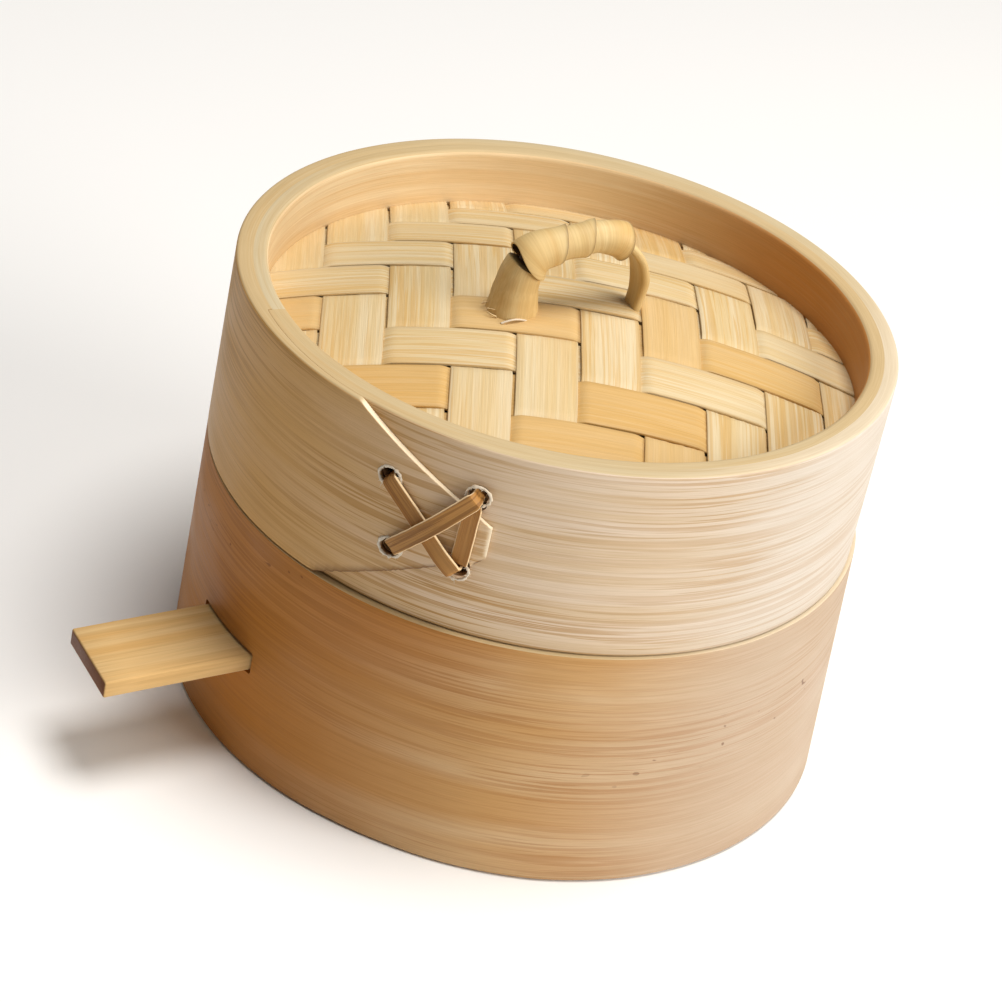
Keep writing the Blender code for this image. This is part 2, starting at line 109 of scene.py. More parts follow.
# Lacing holes at a lap: winding angle past the lap and height
HOLE_A = (-17.3, 33.8)
HOLE_B = (-2.4, 36.8)
HOLE_B_LOW = (-2.7, 34.4)
HOLE_C = (-14.9, 16.4)
HOLE_D = (-3.4, 16.7)
HOLE_D_RIGHT = (-3.2, 18.4)
HOLES = (HOLE_A, HOLE_B, HOLE_B_LOW, HOLE_C, HOLE_D, HOLE_D_RIGHT)
HOLE_MOUTHS = (HOLE_A, HOLE_B, HOLE_C, HOLE_D)
HOLE_RADIUS = 2.35
BASKET_LACE_RAISE = 4.5
BASKET_LACE_OUT = 1.2

# Woven dome
CROWN = 45.1
DOME_RADIUS = 222.7
WEAVE_TURN = -31.7
STRIP_PITCH = 15.2
WARP_OFFSET = -5.3
WEFT_OFFSET = -8.2
FIRST_STRIP = -4
LAST_STRIP = 5
MAT_REACH = 75.6

# Loop handle
LOOP_TURN = -9.2
LEFT_FOOT = -14.8
RIGHT_FOOT = 17.0

# Degrees between two faces from which on the edge between them is shown as a sharp one
SHARP_EDGE = 40


def along(table, at):
    """Value at `at` on the straight lines through the table's (position, value) pairs."""
    if at <= table[0][0]:
        return table[0][1]
    if at >= table[-1][0]:
        return table[-1][1]
    k = bisect.bisect_right([row[0] for row in table], at)
    low, high = table[k - 1], table[k]
    return low[1] + (high[1] - low[1]) * (at - low[0]) / (high[0] - low[0])


def eased(low, high, at):
    t = min(max((at - low) / (high - low), 0.0), 1.0)
    return t * t * (3 - 2 * t)


def polar(radius, angle_deg, height):
    angle = math.radians(angle_deg)
    return Vector((radius * math.cos(angle), radius * math.sin(angle), height))


def wobble(x, y=0.0, z=0.0):
    """Smooth noise between about -1 and 1."""
    return noise.noise(Vector((x, y, z)))


def smooth_path(points, steps):
    """Points on a Catmull-Rom curve through `points`, with `steps` pieces in each span."""
    ends = [points[0] * 2 - points[1]] + points + [points[-1] * 2 - points[-2]]
    path = []
    for a, b, c, d in zip(ends, ends[1:], ends[2:], ends[3:]):
        for step in range(steps):
            t = step / steps
            path.append(0.5 * (2 * b + (c - a) * t + (2 * a - 5 * b + 4 * c - d) * t * t
                               + (3 * b - a - 3 * c + d) * t ** 3))
    return path + [points[-1]]


def profile(x0, x1, y0, y1, radii, rows, columns, bends=4):
    """Clockwise outline of a rectangle with its four corners rounded, from the (x1, y1) corner.

    `radii` go round from that corner; `rows` divide the two upright sides and `columns` the
    two level ones.
    """
    corners = [(x1, y1, 90), (x1, y0, 0), (x0, y0, -90), (x0, y1, -180)]
    inward = [(-1, -1), (-1, 1), (1, 1), (1, -1)]
    sides = [rows, columns, rows, columns]
    arcs = []
    for (x, y, start), (sx, sy), radius in zip(corners, inward, radii):
        cx, cy = x + sx * radius, y + sy * radius
        arc = []
        for k in range(bends + 1):
            angle = math.radians(start - 90 * k / bends)
            arc.append((cx + radius * math.cos(angle), cy + radius * math.sin(angle)))
        arcs.append(arc)
    outline = []
    for k, arc in enumerate(arcs):
        outline += arc
        (ax, ay), (bx, by) = arc[-1], arcs[(k + 1) % 4][0]
        for step in range(1, sides[k]):
            t = step / sides[k]
            outline.append((ax + (bx - ax) * t, ay + (by - ay) * t))
    return outline


def loose_object(name, data):
    item = bpy.data.objects.new(name, data)
    bpy.context.scene.collection.objects.link(item)
    return item


def make_object(name, mesh, material, sharp=SHARP_EDGE):
    item = loose_object(name, mesh)
    mesh.materials.append(material)
    mesh.shade_smooth()
    mesh.set_sharp_from_angle(angle=math.radians(sharp))
    return item


def write_layers(mesh, fibres, tones, tints):
    """Where each vertex lies in the cane (along, across, deep, in metres), its tone (end grain,
    pale edges, painted shade and painted highlight) and its hue (painted shade and painted light on
    the hoops).
    """
    fibre = mesh.attributes.new("fibre", "FLOAT_VECTOR", "POINT")
    fibre.data.foreach_set("vector", [value for row in fibres for value in row])
    tone = mesh.attributes.new("tone", "FLOAT", "POINT")
    tone.data.foreach_set("value", tones)
    hue = mesh.attributes.new("tint", "FLOAT", "POINT")
    hue.data.foreach_set("value", tints)


def swept_mesh(name, verts, size):
    """A closed mesh through rings of `size` points each, with a face over each end."""
    count = len(verts) // size
    faces = []
    for low in range(0, (count - 1) * size, size):
        high = low + size
        for k in range(size):
            ahead = (k + 1) % size
            faces.append((low + k, low + ahead, high + ahead, high + k))
    faces.append(tuple(range(size))[::-1])
    faces.append(tuple(range((count - 1) * size, count * size)))
    mesh = bpy.data.meshes.new(name)
    mesh.from_pydata(verts, [], faces)
    bm = bmesh.new()
    bm.from_mesh(mesh)
    bmesh.ops.recalc_face_normals(bm, faces=bm.faces)
    bm.to_mesh(mesh)
    bm.free()
    return mesh


def skin(name, sections, place, material, seed=0.0, tint=0.5):
    """A solid skin over sections whose corners are (position, (along, across, deep), tone)."""
    verts = [place @ (corner[0] * MM) for section in sections for corner in section]
    mesh = swept_mesh(name, verts, len(sections[0]))
    fibres = [(corner[1][0] * MM, corner[1][1] * MM, corner[1][2] * MM + seed)
              for section in sections for corner in section]
    tones = [corner[2] for section in sections for corner in section]
    write_layers(mesh, fibres, tones, [tint] * len(tones))
    return make_object(name, mesh, material)


def applied(item, name):
    """The item's mesh with its modifiers worked in; the modifiers go."""
    graph = bpy.context.evaluated_depsgraph_get()
    mesh = bpy.data.meshes.new_from_object(item.evaluated_get(graph))
    mesh.name = name
    item.modifiers.clear()
    item.data = mesh


def attach(item, body, slot, *nodes):
    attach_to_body(item, body)
    if nodes:
        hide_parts(*nodes)
    return item


# ---- materials

class Nodes:
    """A short way to write a material's nodes."""

    def __init__(self, name):
        self.material = bpy.data.materials.new(name)
        self.material.use_nodes = True
        self.tree = self.material.node_tree
        self.shader = self.tree.nodes["Principled BSDF"]

    def put(self, kind, values=None, **settings):
        node = self.tree.nodes.new(kind)
        for key, value in settings.items():
            setattr(node, key, value)
        for key, value in (values or {}).items():
            self.feed(node.inputs[key], value)
        return node

    def feed(self, socket, value):
        if isinstance(value, bpy.types.NodeSocket):
            self.tree.links.new(value, socket)
        else:
            socket.default_value = value

    def math(self, operation, a, b=0.0):
        return self.put("ShaderNodeMath", {0: a, 1: b}, operation=operation).outputs[0]

    def scaled(self, vector, scale):
        node = self.put("ShaderNodeVectorMath", {0: vector, 1: scale}, operation="MULTIPLY")
        return node.outputs[0]

    def noise(self, vector, scale, detail=2.0, roughness=0.55):
        """Noise at `scale` blobs per metre along, across and deep."""
        node = self.put("ShaderNodeTexNoise", {
            "Vector": self.scaled(vector, scale), "Scale": 1.0, "Detail": detail,
            "Roughness": roughness,
        })
        return node.outputs["Fac"]

    def between(self, value, low, high, to_low=0.0, to_high=1.0):
        node = self.put("ShaderNodeMapRange", {
            "Value": value, "From Min": low, "From Max": high, "To Min": to_low, "To Max": to_high,
        }, interpolation_type="SMOOTHSTEP")
        return node.outputs["Result"]

    def mix(self, share, a, b, blend="MIX"):
        node = self.put("ShaderNodeMix", data_type="RGBA", blend_type=blend)
        self.feed(node.inputs["Factor"], share)
        self.feed(node.inputs[6], a)
        self.feed(node.inputs[7], b)
        return node.outputs[2]


def srgb(*levels):
    """A screen colour (0 to 255) as the shader's linear colour."""
    parts = []
    for level in levels:
        c = level / 255
        parts.append(c / 12.92 if c <= 0.04045 else ((c + 0.055) / 1.055) ** 2.4)
    return (*parts, 1.0)


def bamboo(name, pale, warm, streak, dark, line=1500, length=9, lines=(0.53, 0.62),
           streak_share=0.75, band=190, bump=0.3, roughness=(0.42, 0.62), mottle=0.4,
           bright=(250, 234, 204), golden=(208, 168, 104), bleached=(220, 205, 180),
           gloss=0.2, node_at=None):
    """Split bamboo: fine wavering fibre lines on pale wood, broader bands, and a darker colour for
    end grain and for painted shade.

    `line` is how many fibre lines there are across a metre, `length` how many end along it,
    `band` how many broad bands, and `node_at` where along the strip a bamboo node was planed
    off, which leaves a row of dots. The mesh's "tint" turns it golden or pale: on the hoops and
    the rim ring that is painted shade and painted light by side, on the mat strips and torn fibres
    their own colour. Its "tone" turns it dark or, below zero, bright: dark for end grain and for
    painted shade in holes, gaps and under edges, bright for pale cut and torn edges, on the
    hoops' cut tongue partly a painted highlight.
    """
    n = Nodes(name)
    pale, warm, streak, dark, bright, golden, bleached = (
        srgb(*colour) for colour in (pale, warm, streak, dark, bright, golden, bleached))
    place = n.put("ShaderNodeAttribute", attribute_name="fibre").outputs["Vector"]
    tone = n.put("ShaderNodeAttribute", attribute_name="tone").outputs["Fac"]
    tint = n.put("ShaderNodeAttribute", attribute_name="tint").outputs["Fac"]

    # The fibres wander a little across the strip
    drift = n.noise(place, (11.0, 40.0, 40.0), detail=1.0)
    drift = n.math("MULTIPLY", n.math("SUBTRACT", drift, 0.5), 0.0016)
    offset = n.put("ShaderNodeCombineXYZ", {"Y": drift}).outputs[0]
    bent = n.put("ShaderNodeVectorMath", {0: place, 1: offset}, operation="ADD").outputs[0]

    coarse = n.noise(bent, (length, line * 0.55, line * 0.55), detail=1.0)
    fine = n.noise(bent, (length * 2.2, line, line), detail=2.0, roughness=0.6)
    hair = n.noise(bent, (60.0, line * 2.6, line * 2.6), detail=2.0, roughness=0.7)
    bands = n.noise(bent, (5.0, band, band), detail=2.0)
    patches = n.noise(place, (22.0, 40.0, 40.0), detail=2.0)
    fades = n.noise(place, (13.0, 34.0, 34.0), detail=1.0)

    ground = n.mix(n.between(bands, 0.36, 0.66), pale, warm)
    ground = n.mix(n.math("MULTIPLY", n.between(patches, 0.42, 0.70), mottle), ground, warm)
    # Painted shade and painted light on the hoops and rim ring, the strips' own colour on the mat:
    # the tint turns the wood golden above 0.5 and pale below it.
    ground = n.mix(n.math("MULTIPLY", n.between(tint, 0.5, 1.0), 0.85), ground, golden)
    ground = n.mix(n.math("MULTIPLY", n.between(tint, 0.5, 0.0), 0.85), ground, bleached)
    low, high = lines
    shown = n.math("MAXIMUM", n.math("MULTIPLY", n.between(coarse, low + 0.02, high), 0.8),
                   n.between(fine, low, high))
    shown = n.math("MULTIPLY", shown, n.between(fades, 0.36, 0.60, 0.25, 1.0))
    # The fibre lines fade where the tint is pale, on the hoops as part of the painted light.
    shown = n.math("MULTIPLY", shown, n.between(tint, 0.5, 0.0, 1.0, 0.4))
    ground = n.mix(n.math("MULTIPLY", shown, streak_share), ground, streak)
    ground = n.mix(1.0, ground, n.put("ShaderNodeCombineColor", {
        "Red": n.between(hair, 0.30, 0.70, 0.94, 1.04),
        "Green": n.between(hair, 0.30, 0.70, 0.92, 1.04),
        "Blue": n.between(hair, 0.30, 0.70, 0.88, 1.05),
    }).outputs[0], blend="MULTIPLY")
    if node_at is not None:
        aside = n.put("ShaderNodeSeparateXYZ", {0: place}).outputs[0]
        aside = n.math("ABSOLUTE", n.math("SUBTRACT", aside, node_at))
        spots = n.noise(place, (380.0, 330.0, 330.0), detail=1.0)
        near = n.math("MULTIPLY", n.between(spots, 0.60, 0.72), n.between(aside, 0.0035, 0.0))
        ground = n.mix(n.math("MULTIPLY", near, 0.6), ground, streak)
        few = n.noise(place, (420.0, 620.0, 620.0), detail=0.0)
        strewn = n.math("MULTIPLY", n.between(few, 0.79, 0.84), n.between(fades, 0.5, 0.6))
        ground = n.mix(n.math("MULTIPLY", strewn, 0.6), ground, dark)
    # Tone: dark end grain and painted shade, and bright pale edges, on the hoops' cut tongue partly
    # a painted highlight.
    ground = n.mix(n.between(tone, 0.0, 1.0), ground, dark)
    ground = n.mix(n.between(tone, 0.0, -1.0), ground, bright)
    n.feed(n.shader.inputs["Base Color"], ground)

    rough = n.math("ADD", n.between(hair, 0.3, 0.7, -0.05, 0.05),
                   n.between(patches, 0.35, 0.65, *roughness))
    n.feed(n.shader.inputs["Roughness"], rough)
    n.shader.inputs["Specular IOR Level"].default_value = gloss
    height = n.math("ADD", n.math("MULTIPLY", fine, 0.6), n.math("MULTIPLY", hair, 0.5))
    bumped = n.put("ShaderNodeBump", {"Height": height})
    bumped.inputs["Strength"].default_value = bump
    bumped.inputs["Distance"].default_value = 0.0004
    n.feed(n.shader.inputs["Normal"], bumped.outputs[0])
    return n.material


END_GRAIN_AND_SHADE = (100, 62, 28)

# Each material's wood: pale, warm between the bands, streaks, and a dark colour for end grain
# and for painted shade. On the walls, the rim and the lid ring the golden colour is painted shade,
# and on the walls the pale one is painted light.
MATS = {
    "lid_wall": bamboo(
        "bamboo_lid_wall", (220, 201, 179), (212, 188, 156), (172, 126, 58), END_GRAIN_AND_SHADE,
        golden=(204, 154, 78), bleached=(208, 200, 190)),
    "rim": bamboo(
        "bamboo_rim", (203, 187, 153), (198, 174, 131), (188, 152, 96), END_GRAIN_AND_SHADE,
        streak_share=0.25, band=60, bump=0.12, golden=(198, 172, 128)),
    "lid_ring": bamboo(
        "bamboo_lid_ring", (228, 208, 172), (220, 191, 146), (201, 157, 102), END_GRAIN_AND_SHADE,
        streak_share=0.3, bump=0.12, length=6, golden=(194, 124, 42)),
    "basket_wall": bamboo(
        "bamboo_basket_wall", (208, 177, 136), (193, 149, 94), (155, 98, 38), (95, 51, 22),
        line=1350, band=80, streak_share=0.62, mottle=0.6, golden=(178, 112, 34),
        bleached=(188, 170, 151), node_at=-0.1345),
    "handle": bamboo(
        "bamboo_handle_bar", (220, 188, 136), (214, 172, 110), (196, 157, 99), (108, 58, 16),
        line=900, streak_share=0.35, bump=0.12, roughness=(0.38, 0.52), gloss=0.12),
    "rack": bamboo(
        "bamboo_rack", (210, 187, 145), (201, 167, 115), (174, 130, 77), END_GRAIN_AND_SHADE),
    "mat": bamboo(
        "bamboo_mat", (220, 203, 167), (214, 190, 143), (203, 161, 90), (115, 79, 35),
        lines=(0.49, 0.60), length=12, streak_share=0.6, band=260, bump=0.35),
    "loop": bamboo(
        "cane_loop", (220, 196, 145), (212, 179, 119), (194, 148, 84), (68, 37, 15),
        line=1200, streak_share=0.22, bump=0.2),
    "cane": bamboo(
        "cane_lacing", (176, 128, 70), (150, 100, 46), (100, 60, 26), (53, 27, 11),
        line=2400, length=20, streak_share=0.6, bump=0.45, bright=(244, 216, 172)),
    "torn": bamboo(
        "torn_fibre", (231, 223, 209), (225, 210, 187), (205, 174, 134), (137, 92, 55),
        line=2600, streak_share=0.4, bump=0.5),
}


# ---- hoops and rings

def rim_wave(angle):
    """The slight unevenness of a rim, the same for every strip that ends in it."""
    turn = math.radians(angle)
    return 0.09 * wobble(3 * math.cos(turn), 3 * math.sin(turn), 6.0)


def lean(hoop, angle, level):
    """How far a hoop's wall leans out at an angle from the axis and a height."""
    spread = along(hoop["spread"], (angle + 180) % 360 - 180)
    return spread * (1 - level / hoop["height"])


def hoop_section(hoop, turn, seed, rough_cut, rim_edge):
    """One rounded section of a strip wound round once and past its own start."""
    top, bottom = hoop["top"], hoop["bottom"]
    angle = hoop["lap"] + turn
    high = along([(top[0][0], hoop["height"])] + top[1:], turn)
    low = along(bottom, turn)
    on_cut = eased(bottom[0][0] - 1.0, bottom[0][0] + 1.0, turn)
    cut = eased(top[0][0] - 0.5, top[0][0] + 1.5, turn)
    high += rim_wave(angle) * (1 - cut)
    if low > 0:
        low += rough_cut * on_cut * (wobble(turn * 1.9, seed, 3.0)
                                     + 0.8 * wobble(turn * 5.1, seed, 7.0))
    else:
        low += 0.03 + 0.05 * wobble(turn * 0.11, seed, 5.0)
    r_in, r_out = along(hoop["inside"], turn), along(hoop["outside"], turn)
    tip = eased(360.15, 360.7, turn)
    under_lap = 1 - eased(-27.0, -24.0, turn)
    edge = rim_edge * (1 - under_lap) * (1 - cut) + 0.3 * cut + 0.04 * under_lap
    radii = (max(edge, 0.04), 0.3, 0.3, 0.04)
    section = []
    for radius, level in profile(r_in, r_out - 0.25 * tip, low, high, radii, 18, 2):
        near_top = max(0.0, 1.0 - (high - level) / 0.16)
        near_low = max(0.0, 1.0 - (level - low) / 0.9)
        # The tone: the tongue's upper cut edge paler, partly fresh cut wood and partly a painted
        # highlight; a painted shadow darkening it along its lower cut edge; the torn tip pale.
        tone = -0.8 * cut * near_top + 0.9 * on_cut * near_low - 0.9 * tip
        arc = math.radians(angle) * FIBRE_RADIUS
        section.append((polar(radius + lean(hoop, angle, level), angle, level),
                        (arc, level, radius), tone))
    return section


def wound_hoop(name, hoop, place, material, seed, rough_cut, rim_edge):
    # Two more sections where the outer turn steps over the strip's own start, then fine steps
    # along the narrowing end
    coarse = [FIRST_TURN + 1.5 * k for k in range(258)] + [304.8, 304.95]
    turns = sorted(coarse) + [332 + 0.4 * k for k in range(73)]
    sections = [hoop_section(hoop, turn, seed, rough_cut, rim_edge) for turn in turns]
    return skin(name, sections, place, material, seed=seed)


def tint_at(hue, angle, share_up):
    """The tint at an angle and height: 0 pale as painted light, 0.5 plain, 1 golden as painted
    shade.
    """
    away = abs((angle - hue.golden_side + 180) % 360 - 180)
    aside = abs((angle - LIT_SIDE + 180) % 360 - 180)
    return (0.5 + hue.golden * (1 - eased(10, hue.golden_reach, away))
            - hue.bleached * (1 - eased(10, hue.bleached_reach, aside))
            + hue.golden_top * eased(0.55, 1.0, share_up) * (1 - eased(40, 120, away)))


def relayer_hoop(item, hoop, place, seed, lift, rim):
    """Fibre directions, the hue's painted shade and painted light, and the painted shade in the
    holes for a hoop again, after holes were cut in it.
    """
    mesh = item.data
    back = place.inverted()
    fibre = mesh.attributes["fibre"]
    tone = mesh.attributes["tone"]
    tint = mesh.attributes["tint"]
    for k, vert in enumerate(mesh.vertices):
        point = back @ vert.co / MM
        angle = math.degrees(math.atan2(point.y, point.x))
        radius = math.hypot(point.x, point.y) - lean(hoop, angle, point.z)
        # Which of the strip's two layers the vertex is on, where they lie over each other
        turn = (angle - hoop["lap"]) % 360
        if turn > 300 and radius < along(hoop["inside"], turn) - 0.02:
            turn -= 360
        if turn < 1.5 and radius > along(hoop["inside"], turn + 360) - 0.02:
            turn += 360
        arc = math.radians(hoop["lap"] + turn) * FIBRE_RADIUS
        fibre.data[k].vector = (arc * MM, point.z * MM, radius * MM + seed)
        tint.data[k].value = tint_at(hoop["hue"], angle, point.z / hoop["height"])
        for hole_turn, height in HOLES:
            apart = abs((turn - hole_turn + 180) % 360 - 180)
            away = math.hypot(math.radians(apart) * FIBRE_RADIUS, point.z - height - lift)
            if away < HOLE_RADIUS * 1.25:
                deep = along(hoop["outside"], turn) - radius
                # Painted shade: the hole's walls darken with depth.
                tone.data[k].value = eased(0.2, 1.6, deep)
    paint_rim(item, place, hoop["height"] - 1.0, rim)


def paint_rim(item, place, level, rim):
    """Give the faces that look up from above `level` the rim's material."""
    item.data.materials.append(rim)
    for face in item.data.polygons:
        if face.normal.z > 0.6 and face.center.z > place.translation.z + level * MM:
            face.material_index = 1


def ragged_drill(name, centre, outward, radius, depth, seed):
    """A cutter whose outline is torn, as a hole punched through split bamboo is."""
    frame_z = outward.normalized()
    frame_x = Vector((0, 0, 1)).cross(frame_z).normalized()
    frame_y = frame_z.cross(frame_x)
    points = 22
    rings = []
    for end in (-1, 1):
        torn = []
        for k in range(points):
            angle = 2 * math.pi * k / points
            reach = radius * (1 + 0.10 * wobble(k * 0.9, seed) + 0.05 * wobble(k * 2.3, seed, 4))
            # Torn wider along the grain
            torn.append(centre + frame_x * reach * 1.10 * math.cos(angle)
                        + frame_y * reach * 0.94 * math.sin(angle) + frame_z * end * depth / 2)
        rings.append(torn)
    verts = [point * MM for torn in rings for point in torn]
    return loose_object(name, swept_mesh(name, verts, points))


def block_cutter(name, size, centre):
    """A cutter for a square hole through the wall along X, with rounded corners."""
    outline = profile(-size[1] / 2, size[1] / 2, -size[2] / 2, size[2] / 2, (0.7,) * 4, 2, 2)
    verts = []
    for x in (-size[0] / 2, size[0] / 2):
        verts += [(Vector((x, y, z)) + centre) * MM for y, z in outline]
    return loose_object(name, swept_mesh(name, verts, len(outline)))


def cut_out(item, cutters, place):
    """Cut the cutters, which were laid out like the item's own place, out of the item."""
    for cutter in cutters:
        cutter.data.transform(place)
        boolean = item.modifiers.new(cutter.name, "BOOLEAN")
        boolean.operation = "DIFFERENCE"
        boolean.solver = "EXACT"
        boolean.object = cutter
    bpy.context.view_layer.update()
    applied(item, item.name)
    for cutter in cutters:
        mesh = cutter.data
        bpy.data.objects.remove(cutter)
        bpy.data.meshes.remove(mesh)
    item.data.set_sharp_from_angle(angle=math.radians(SHARP_EDGE))


def lace_cutters(prefix, hoop, lift):
    cutters = []
    for k, (turn, height) in enumerate(HOLES):
        outward = polar(1.0, hoop["lap"] + turn, 0.0)
        centre = polar(80.0, hoop["lap"] + turn, height + lift)
        cutters.append(ragged_drill(f"{prefix}_drill_{k}", centre, outward, HOLE_RADIUS, 14.0,
                                    k * 3.7))
    return cutters


def ring(name, inner, outer, low, high, place, material, seed, radii, hue=PLAIN_HUE,
         start=0.0, rim=None):
    """A plain hoop ring with eased edges and a slightly uneven section."""
    sections = []
    angles = [start + 1.5 * k for k in range(241)]
    for angle in angles:
        circle = (math.cos(math.radians(angle)) * 4, math.sin(math.radians(angle)) * 4)
        r_in = inner + 0.12 * wobble(*circle, seed)
        top = high + (rim_wave(angle) if rim else 0.08 * wobble(*circle, seed + 5))
        arc = math.radians(angle) * FIBRE_RADIUS
        sections.append([(polar(radius, angle, level), (arc, level, radius), 0.0)
                         for radius, level in profile(r_in, outer, low, top, radii, 10, 3)])
    item = skin(name, sections, place, material, seed=seed)
    close_seam(item, len(sections[0]))
    tints = [tint_at(hue, angle, 0.0) for angle in angles for _ in sections[0]]
    item.data.attributes["tint"].data.foreach_set("value", tints)
    if rim:
        paint_rim(item, place, high - 1.5, rim)
    return item


def close_seam(item, size):
    """Drop the two end faces of a strip that meets itself, so its ends join without a wall."""
    bm = bmesh.new()
    bm.from_mesh(item.data)
    caps = [face for face in bm.faces if len(face.verts) == size and size > 4]
    bmesh.ops.delete(bm, geom=caps, context="FACES_ONLY")
    bm.to_mesh(item.data)
    bm.free()


# ---- bars and ribbons

def board(name, length, width, thick, place, material, seed, slant=0.0):
    """A flat bar along X with soft edges, slightly uneven sides and dark end grain.

    `slant` is how much further in the -X end's +Y corner is cut.
    """
    half = length / 2
    edge = 0.55
    # Along the bar: where, how far the outline draws in, and how dark it is
    stops = [(-half, edge, 1.0), (-half + 0.12, 0.2, 0.5), (-half + 0.45, 0.0, 0.0)]
    inner = 24
    stops += [(-half + 0.45 + (length - 0.9) * k / inner, 0.0, 0.0) for k in range(1, inner)]
    stops += [(half - 0.45, 0.0, 0.0), (half - 0.12, 0.2, 0.5), (half, edge, 1.0)]
    sections = []
    for x, inset, tone in stops:
        side = 0.10 * wobble(x * 0.06, seed * 9.0)
        bow = 0.08 * wobble(x * 0.04, seed * 9.0, 5.0)
        wide = width / 2 - inset + 0.08 * wobble(x * 0.09, seed * 9.0, 8.0)
        deep = thick / 2 - inset
        outline = profile(-wide, wide, -deep, deep, (max(edge - inset, 0.08),) * 4, 3, 8)
        cut_back = slant * eased(half - 40.0, half - 1.0, -x)
        sections.append([(Vector((x + cut_back * (y / width + 0.5), y + side, z + bow)), (x, y, z),
                          tone) for y, z in outline])
    return skin(name, sections, place, material, seed=seed)


def ribbon(name, path, across, widths, thicks, place, material, seed, crown=0.0,
           edge_tone=0.0, end_tone=0.6, round_share=0.0, crease=0.0):
    """A flat cane strip along `path`; `across` is the direction of its width at each point.

    `crown` raises its middle, `round_share` rounds a thick strip's edges by that share of its
    thickness, and `crease` presses shallow folds along it.
    """
    reach = 0.0
    sections = []
    for k, centre in enumerate(path):
        ahead = (path[min(k + 1, len(path) - 1)] - path[max(k - 1, 0)]).normalized()
        side = (across[k] - ahead * across[k].dot(ahead)).normalized()
        normal = ahead.cross(side)
        if k:
            reach += (centre - path[k - 1]).length
        wide = widths[k] / 2 * (1 + 0.035 * wobble(reach * 0.35, seed * 7.0))
        deep = thicks[k] / 2
        edge = max(min(deep * 0.8, 0.35), 2 * deep * round_share)
        edge = min(edge, deep * 0.95, wide * 0.95)
        at_end = 1.0 if k in (0, len(path) - 1) else 0.0
        section = []
        for a, b in profile(-wide, wide, -deep, deep, (edge,) * 4, 2, 8, bends=3):
            bulge = crown * (1 - (a / wide) ** 2)
            folds = crease * wobble(a * 0.45, b * 0.45 + reach * 0.06, seed * 5.0)
            point = centre + side * a * (1 + 0.12 * folds)
            point += normal * (b * (1 + 0.25 * folds) + bulge)
            near_edge = eased(0.84, 1.0, abs(a) / wide)
            section.append((point, (reach, a, b), edge_tone * near_edge + end_tone * at_end))
        sections.append(section)
    return skin(name, sections, place, material, seed=seed)


def lace(name, start, end, radii, leg_end, lap, lift, place, material, seed, thick):
    """A flat cane strip from one hole to another: a leg in, a run over the wall, a leg out."""
    (turn_a, high_a), (turn_b, high_b) = start, end
    # Knots are (share of the run, radius, width)
    run = math.hypot(math.radians(turn_b - turn_a) * radii[0], high_b - high_a)
    turn_in = 1.1 / run
    knots = [(0.0, leg_end, 3.0), (0.0, radii[0] - 2.4, 3.1), (0.10 * turn_in, radii[0] - 1.1, 3.3),
             (0.5 * turn_in, radii[0] - 0.3, 3.8)]
    for k, radius in enumerate(radii):
        share = turn_in + (1 - 2 * turn_in) * k / (len(radii) - 1)
        knots.append((share, radius, 4.2))
    knots += [(1 - 0.5 * turn_in, radii[-1] - 0.3, 3.8), (1 - 0.10 * turn_in, radii[-1] - 1.1, 3.3),
              (1.0, radii[-1] - 2.4, 3.1), (1.0, leg_end, 3.0)]
    points = []
    for share, radius, _ in knots:
        turn = turn_a + (turn_b - turn_a) * share
        height = high_a + (high_b - high_a) * share + lift
        points.append(polar(radius, lap + turn, height))
    path = smooth_path(points, 4)
    across = []
    widths = []
    forward = (points[-1] - points[0]).normalized()
    for k, point in enumerate(path):
        outward = Vector((point.x, point.y, 0.0)).normalized()
        across.append(forward.cross(outward))
        span, share = divmod(k, 4)
        low = knots[min(span, len(knots) - 1)][2]
        high = knots[min(span + 1, len(knots) - 1)][2]
        widths.append(low + (high - low) * share / 4)
    return ribbon(name, path, across, widths, [thick] * len(path), place, material, seed,
                  crown=0.14, edge_tone=-0.95)


def splinters(name, roots, place, material, seed, length, thickness):
    """Short torn fibres: (root, direction) pairs, each a thin bent sliver."""
    rng = random.Random(seed)
    bm = bmesh.new()
    fibres = []
    for root, direction in roots:
        size = length * rng.uniform(0.4, 1.3)
        thick = thickness * rng.uniform(0.6, 1.4)
        bend = Vector([rng.uniform(-1, 1) for _ in range(3)]) * 0.35
        side = direction.cross(Vector((rng.uniform(-1, 1), rng.uniform(-1, 1), 1.0))).normalized()
        other = direction.cross(side).normalized()
        rings = []
        for step in range(4):
            t = step / 3
            centre = root + (direction + bend * t) * size * t
            reach = thick * (1 - 0.8 * t)
            rings.append([bm.verts.new(place @ ((centre + side * reach * math.cos(angle)
                                                 + other * reach * 0.6 * math.sin(angle)) * MM))
                          for angle in (0.0, 2.1, 4.2)])
            fibres += [(size * t * MM, reach * MM * k, seed * 0.01) for k in range(3)]
        for low, high in zip(rings, rings[1:]):
            for k in range(3):
                bm.faces.new((low[k], low[(k + 1) % 3], high[(k + 1) % 3], high[k]))
        bm.faces.new(rings[0][::-1])
        bm.faces.new(rings[-1])
    return torn_object(name, bm, fibres, material)


def torn_object(name, bm, fibres, material, sharp=SHARP_EDGE):
    bmesh.ops.recalc_face_normals(bm, faces=bm.faces)
    mesh = bpy.data.meshes.new(name)
    bm.to_mesh(mesh)
    bm.free()
    write_layers(mesh, fibres, [0.0] * len(fibres), [0.3] * len(fibres))
    return make_object(name, mesh, material, sharp)


